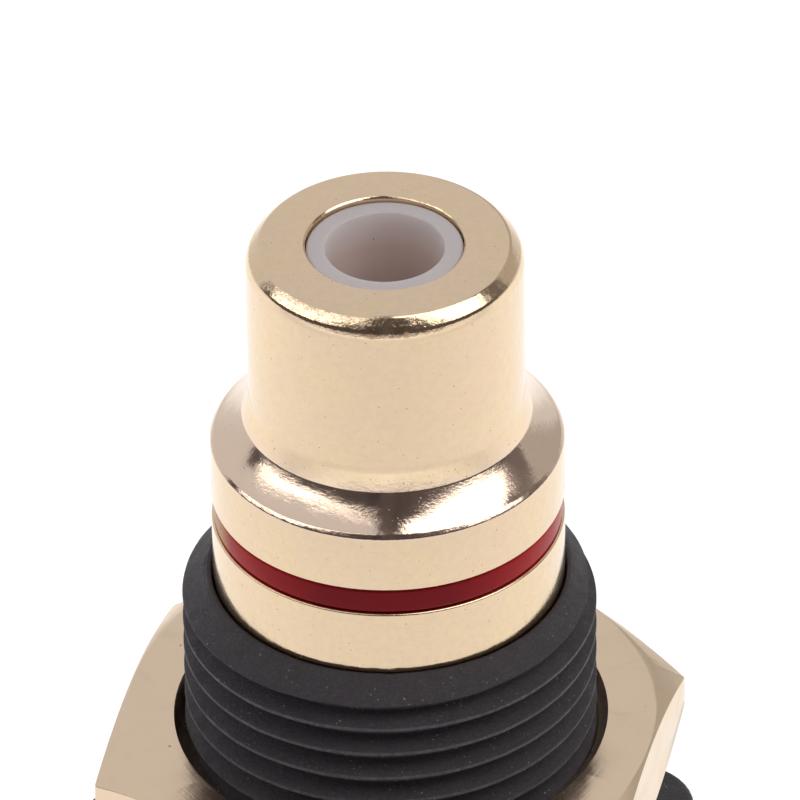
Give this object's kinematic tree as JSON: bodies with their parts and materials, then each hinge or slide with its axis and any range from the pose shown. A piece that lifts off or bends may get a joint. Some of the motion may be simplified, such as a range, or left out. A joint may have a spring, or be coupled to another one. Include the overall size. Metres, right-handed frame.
{
  "type": "rca panel socket",
  "caption": "Gold-plated coaxial audio socket for a panel, with a red ring, a threaded black bushing and flange, a hexagon panel nut and a solder tag behind.",
  "frame": {"origin": "on the socket's axis, in the front face of the bushing's flange, where the panel seats", "axes": "+Z along the axis, out of the panel's front, towards the plug; +X towards the solder tag's side"},
  "size_m": [0.0196, 0.0216, 0.0397],
  "materials": {
    "shell_plating": "bright pale gold plating",
    "nut_plating": "bright pale gold plating over turned and milled faces",
    "contact_plating": "satin gold plating",
    "washer_steel": "nickel-plated spring steel",
    "red_enamel": "glossy deep red",
    "insulator": "milky, smooth",
    "bushing_plastic": "matt black, finely grained moulding"
  },
  "bodies": {
    "socket_body": {"outer_shell": "shell_plating", "colour_ring": "red_enamel", "front_insulator": "insulator", "centre_contact": "contact_plating", "rear_insulator": "insulator", "threaded_bushing": "bushing_plastic", "ground_tag": "contact_plating", "lock_washer": "washer_steel", "rear_nut": "nut_plating"},
    "nut": {"panel_nut": "nut_plating"}
  },
  "joints": [
    {"name": "panel_nut_travel", "type": "slide", "parent": "socket_body", "child": "nut", "axis": [0, 0, 1], "range_m": [-0.00453, 0.00907]}
  ]
}
